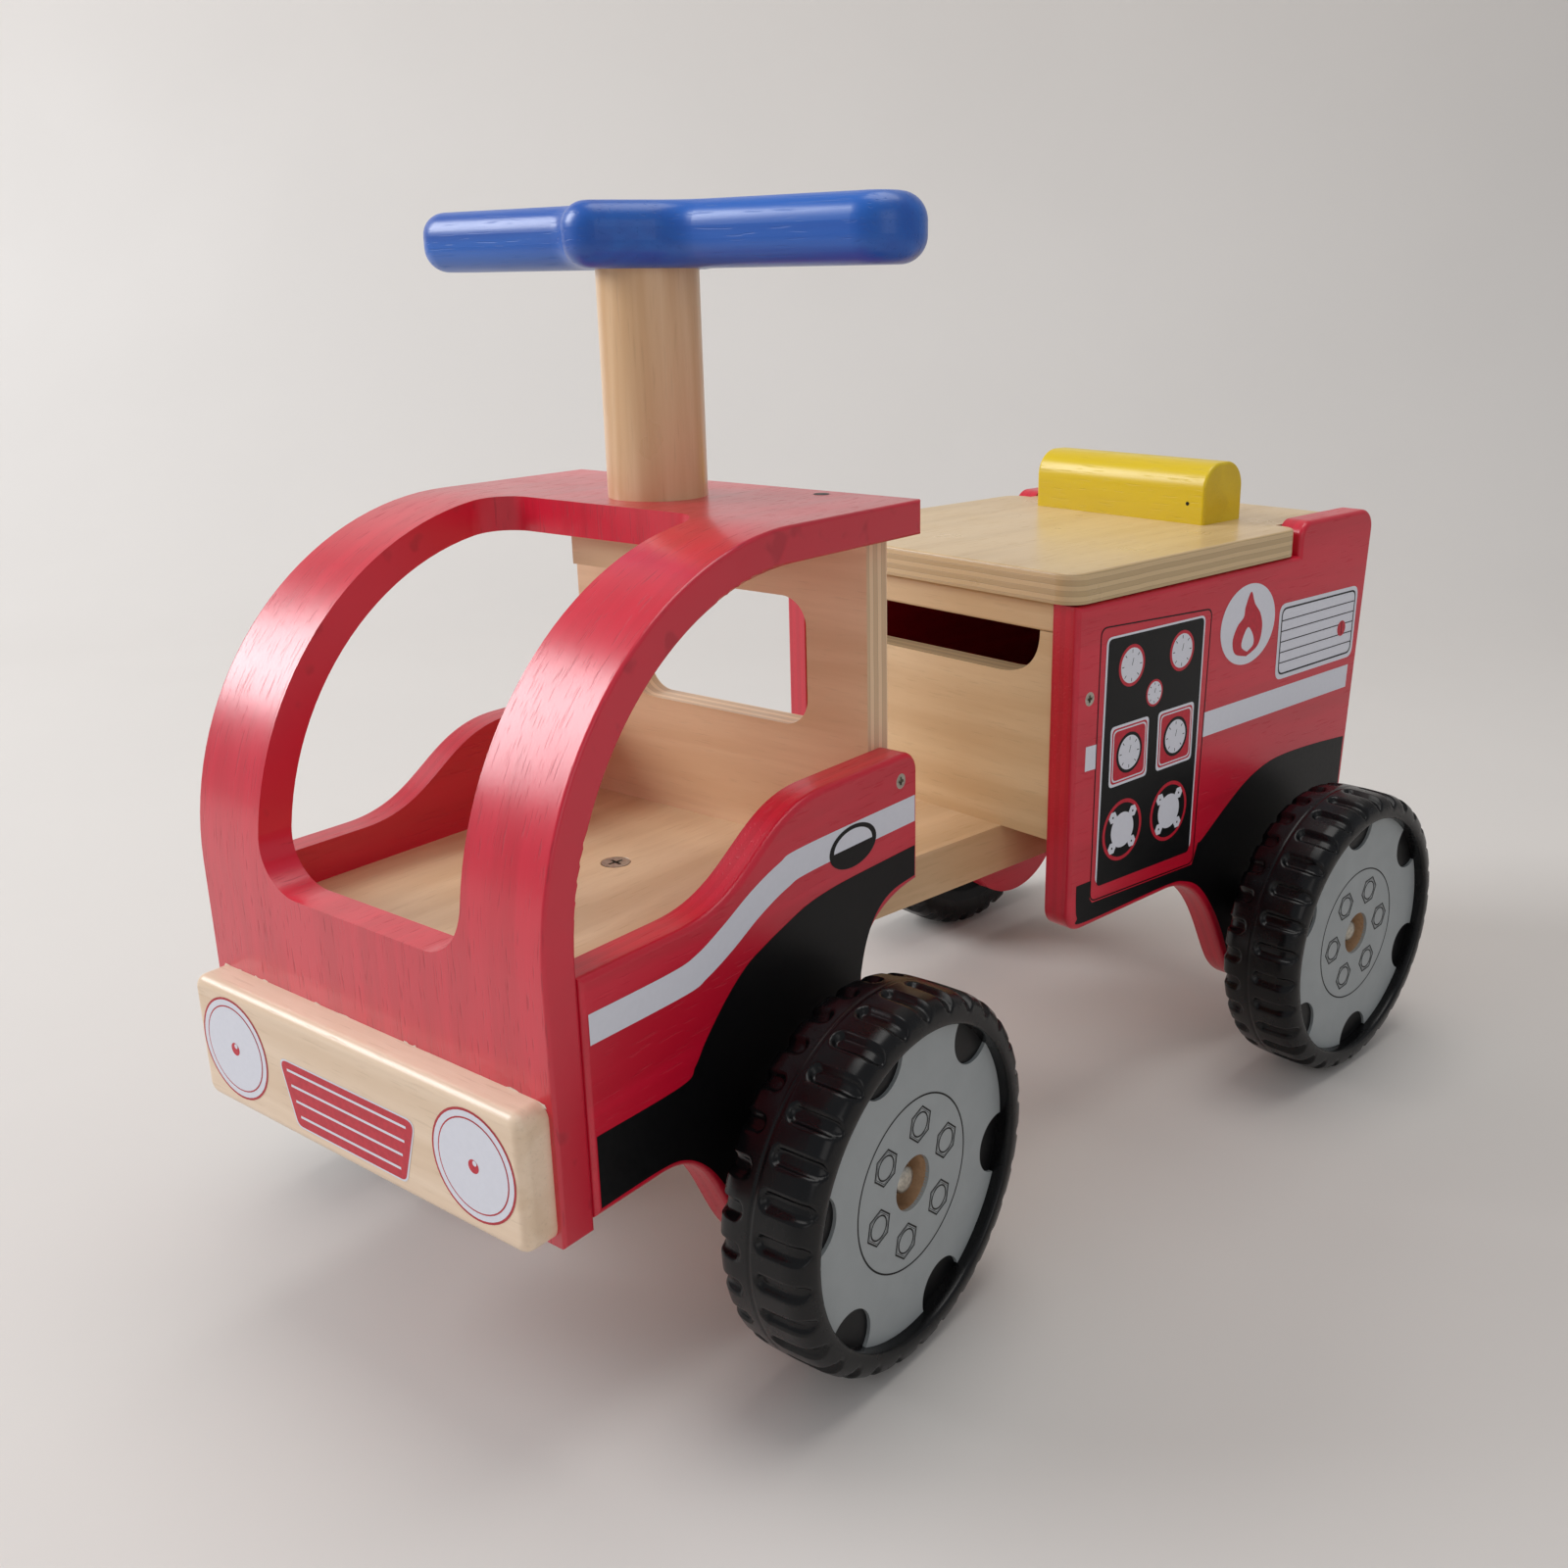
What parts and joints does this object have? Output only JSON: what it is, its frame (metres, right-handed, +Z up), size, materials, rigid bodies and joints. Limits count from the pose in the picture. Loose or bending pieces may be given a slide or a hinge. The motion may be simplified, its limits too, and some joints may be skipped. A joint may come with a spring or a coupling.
{
  "type": "ride-on toy truck",
  "caption": "Wooden four-wheel ride-on truck for a small child, with a cab that steers from a handle on its roof and a seat lid over a storage box.",
  "frame": {"origin": "on the ground, in the middle of the overall box, with the cab steered 9.6 degrees to the left as modelled", "axes": "front of the vehicle at -Y, its left side at +X, +Z up"},
  "size_m": [0.2898, 0.5112, 0.3745],
  "materials": {
    "red_paint": "satin red paint over open-grained plywood",
    "plywood": "clear satin varnish",
    "bumper_wood": "clear satin varnish",
    "dowel": "clear satin varnish",
    "core_wood": "bare",
    "blue_paint": "gloss blue paint",
    "yellow_paint": "satin yellow paint",
    "tyre": "glossy black moulded tread",
    "disc_print": "printed grey wheel face",
    "plastic": "black spacer",
    "steel": "zinc plated"
  },
  "bodies": {
    "chassis": {"box_back_panel": "plywood", "box_cross_rail": "plywood", "box_floor": "plywood", "box_front_panel": "plywood", "box_screws": "steel", "chassis_beam": "plywood", "floor_screws": "steel", "hinge_pins": "steel", "kingpin_bolt": "steel", "kingpin_nut": "steel", "lower_batten": "plywood", "rear_axle": "steel", "rear_axle_caps": "steel", "rear_side_left": "red_paint", "rear_side_right": "red_paint", "rear_spacers": "plastic", "slip_washer": "plastic"},
    "cab": {"bumper": "bumper_wood", "cab_back_wall": "plywood", "cab_floor": "plywood", "cab_screws": "steel", "cab_shell": "red_paint", "cab_side_left": "red_paint", "cab_side_right": "red_paint", "front_axle": "steel", "front_axle_caps": "steel", "front_spacers": "plastic", "roof_block": "plywood", "steering_column": "dowel", "steering_handle": "blue_paint"},
    "lid": {"seat_lid": "plywood", "lid_bar": "yellow_paint"},
    "wheel_front_left": {"front_left_tyre": "tyre", "front_left_core": "core_wood", "front_left_disc": "disc_print"},
    "wheel_front_right": {"front_right_tyre": "tyre", "front_right_core": "core_wood", "front_right_disc": "disc_print"},
    "wheel_rear_left": {"rear_left_tyre": "tyre", "rear_left_core": "core_wood", "rear_left_disc": "disc_print"},
    "wheel_rear_right": {"rear_right_tyre": "tyre", "rear_right_core": "core_wood", "rear_right_disc": "disc_print"}
  },
  "joints": [
    {"name": "cab_steer", "type": "hinge", "parent": "chassis", "child": "cab", "pos_m": [0, -0.12471, 0.137], "axis": [0, 0, 1], "range_deg": [-31.6, 12.4]},
    {"name": "lid_hinge", "type": "hinge", "parent": "chassis", "child": "lid", "pos_m": [0, 0.24059, 0.2378], "axis": [-1, 0, 0], "range_deg": [0, 95]},
    {"name": "front_left_spin", "type": "hinge", "parent": "cab", "child": "wheel_front_left", "pos_m": [0.11704, -0.10491, 0.065], "axis": [0.986, 0.1668, 0], "continuous": true},
    {"name": "rear_left_spin", "type": "hinge", "parent": "chassis", "child": "wheel_rear_left", "pos_m": [0.1187, 0.18419, 0.065], "axis": [1, 0, 0], "continuous": true},
    {"name": "front_right_spin", "type": "hinge", "parent": "cab", "child": "wheel_front_right", "pos_m": [-0.11704, -0.1445, 0.065], "axis": [0.986, 0.1668, 0], "continuous": true},
    {"name": "rear_right_spin", "type": "hinge", "parent": "chassis", "child": "wheel_rear_right", "pos_m": [-0.1187, 0.18419, 0.065], "axis": [1, 0, 0], "continuous": true}
  ]
}
